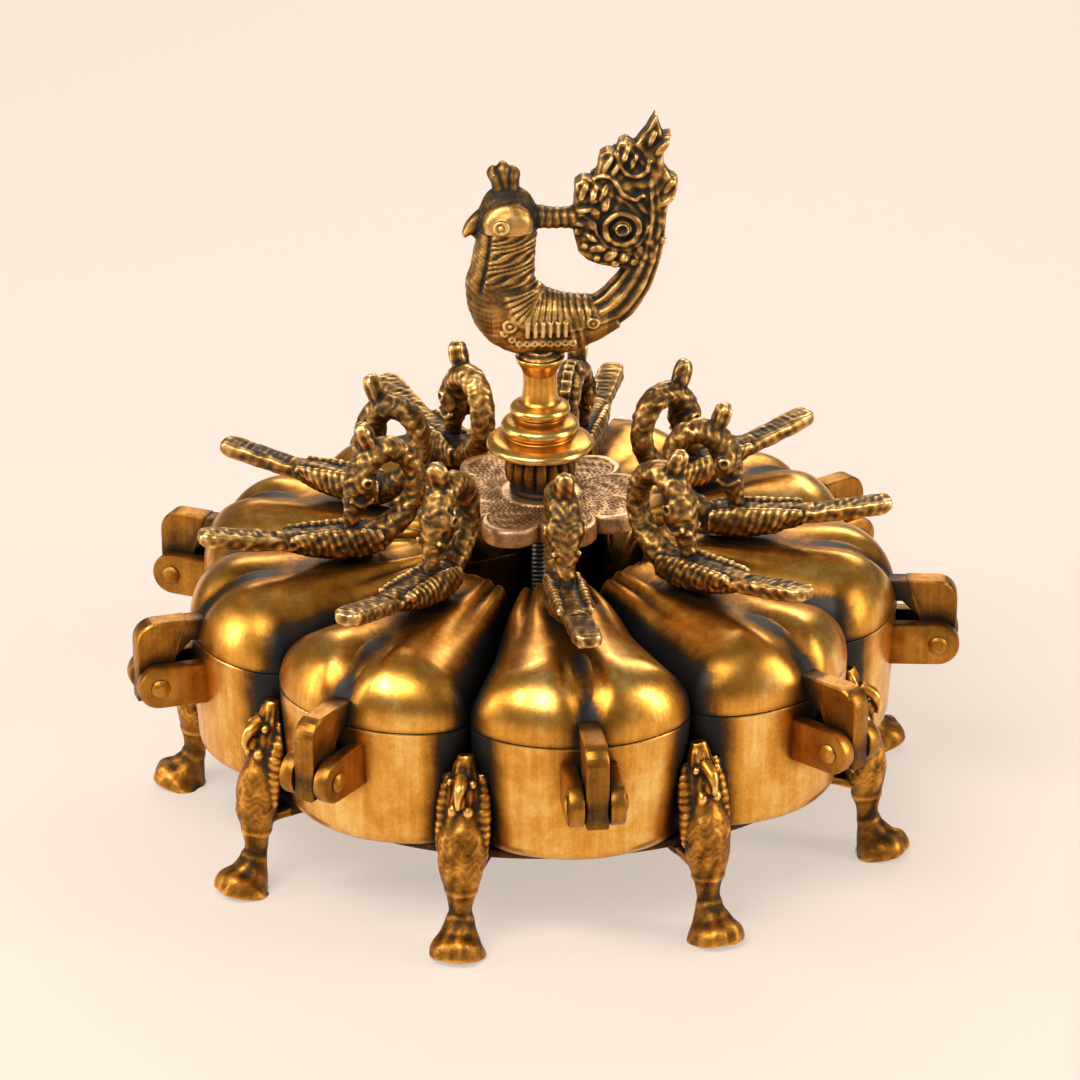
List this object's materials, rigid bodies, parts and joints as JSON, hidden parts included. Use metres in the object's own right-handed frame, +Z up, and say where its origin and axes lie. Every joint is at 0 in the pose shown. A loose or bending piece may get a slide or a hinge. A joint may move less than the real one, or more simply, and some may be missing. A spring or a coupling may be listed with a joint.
{
  "type": "petal spice box",
  "caption": "Round brass spice box of petal-shaped cups with hinged domed lids carrying birds, on cabriole feet, locked by a plate under a screw-on peacock finial.",
  "frame": {"origin": "on the central rod's axis at floor level, under the feet", "axes": "+Z up along the central rod; the first petal points along -Y, turned 5 degrees towards +X; the peacock's head is towards -X"},
  "size_m": [0.2682, 0.2682, 0.2352],
  "materials": {
    "polished_brass": "rubbed bright with dark patina in the recesses",
    "antique_brass": "cast, dark antique patina with rubbed high spots",
    "turned_brass": "turned and polished, dark in the grooves",
    "engraved_brass": "stippled and engraved",
    "rod_steel": "dull threaded steel"
  },
  "bodies": {
    "base": {"base_plate": "antique_brass", "centre_rod": "rod_steel", "rod_washer": "rod_steel", "rod_nut": "rod_steel", "rod_lock_nut": "rod_steel", "cup_1": "polished_brass", "cup_2": "polished_brass", "cup_3": "polished_brass", "cup_4": "polished_brass", "cup_5": "polished_brass", "cup_6": "polished_brass", "cup_7": "polished_brass", "cup_8": "polished_brass", "cup_9": "polished_brass", "hinge_pin_1": "antique_brass", "hinge_pin_2": "antique_brass", "hinge_pin_3": "antique_brass", "hinge_pin_4": "antique_brass", "hinge_pin_5": "antique_brass", "hinge_pin_6": "antique_brass", "hinge_pin_7": "antique_brass", "hinge_pin_8": "antique_brass", "hinge_pin_9": "antique_brass", "foot_1": "antique_brass", "foot_2": "antique_brass", "foot_3": "antique_brass", "foot_4": "antique_brass", "foot_5": "antique_brass", "foot_6": "antique_brass", "foot_7": "antique_brass", "foot_8": "antique_brass", "foot_9": "antique_brass"},
    "lid_1": {"lid_1": "polished_brass", "bird_1": "antique_brass"},
    "lid_2": {"lid_2": "polished_brass", "bird_2": "antique_brass"},
    "lid_3": {"lid_3": "polished_brass", "bird_3": "antique_brass"},
    "lid_4": {"lid_4": "polished_brass", "bird_4": "antique_brass"},
    "lid_5": {"lid_5": "polished_brass", "bird_5": "antique_brass"},
    "lid_6": {"lid_6": "polished_brass", "bird_6": "antique_brass"},
    "lid_7": {"lid_7": "polished_brass", "bird_7": "antique_brass"},
    "lid_8": {"lid_8": "polished_brass", "bird_8": "antique_brass"},
    "lid_9": {"lid_9": "polished_brass", "bird_9": "antique_brass"},
    "clamp": {"clamp_plate": "engraved_brass"},
    "finial": {"plate_retainer": "turned_brass", "finial_bulb": "antique_brass", "finial_stem": "turned_brass", "peacock": "antique_brass"}
  },
  "joints": [
    {"name": "lid_1_hinge", "type": "hinge", "parent": "base", "child": "lid_1", "pos_m": [0.01118, -0.12781, 0.0585], "axis": [0.9962, 0.0872, 0], "range_deg": [0, 105]},
    {"name": "lid_2_hinge", "type": "hinge", "parent": "base", "child": "lid_2", "pos_m": [0.09072, -0.09072, 0.0585], "axis": [0.7071, 0.7071, 0], "range_deg": [0, 105]},
    {"name": "lid_3_hinge", "type": "hinge", "parent": "base", "child": "lid_3", "pos_m": [0.12781, -0.01118, 0.0585], "axis": [0.0872, 0.9962, 0], "range_deg": [0, 105]},
    {"name": "lid_4_hinge", "type": "hinge", "parent": "base", "child": "lid_4", "pos_m": [0.1051, 0.07359, 0.0585], "axis": [-0.5736, 0.8192, 0], "range_deg": [0, 105]},
    {"name": "lid_5_hinge", "type": "hinge", "parent": "base", "child": "lid_5", "pos_m": [0.03321, 0.12393, 0.0585], "axis": [-0.9659, 0.2588, 0], "range_deg": [0, 105]},
    {"name": "lid_6_hinge", "type": "hinge", "parent": "base", "child": "lid_6", "pos_m": [-0.05422, 0.11628, 0.0585], "axis": [-0.9063, -0.4226, 0], "range_deg": [0, 105]},
    {"name": "lid_7_hinge", "type": "hinge", "parent": "base", "child": "lid_7", "pos_m": [-0.11628, 0.05422, 0.0585], "axis": [-0.4226, -0.9063, 0], "range_deg": [0, 105]},
    {"name": "lid_8_hinge", "type": "hinge", "parent": "base", "child": "lid_8", "pos_m": [-0.12393, -0.03321, 0.0585], "axis": [0.2588, -0.9659, 0], "range_deg": [0, 105]},
    {"name": "lid_9_hinge", "type": "hinge", "parent": "base", "child": "lid_9", "pos_m": [-0.07359, -0.1051, 0.0585], "axis": [0.8192, -0.5736, 0], "range_deg": [0, 105]},
    {"name": "clamp_lift", "type": "slide", "parent": "base", "child": "clamp", "axis": [0, 0, 1], "range_m": [-0.008, 0.015]},
    {"name": "finial_turn", "type": "hinge", "parent": "clamp", "child": "finial", "pos_m": [0, 0, 0.122], "axis": [0, 0, 1], "range_deg": [-1920, 3600]}
  ],
  "couplings": [
    {"joint": "clamp_lift", "follows": "finial_turn", "m_per_rad": 0.0002387}
  ]
}
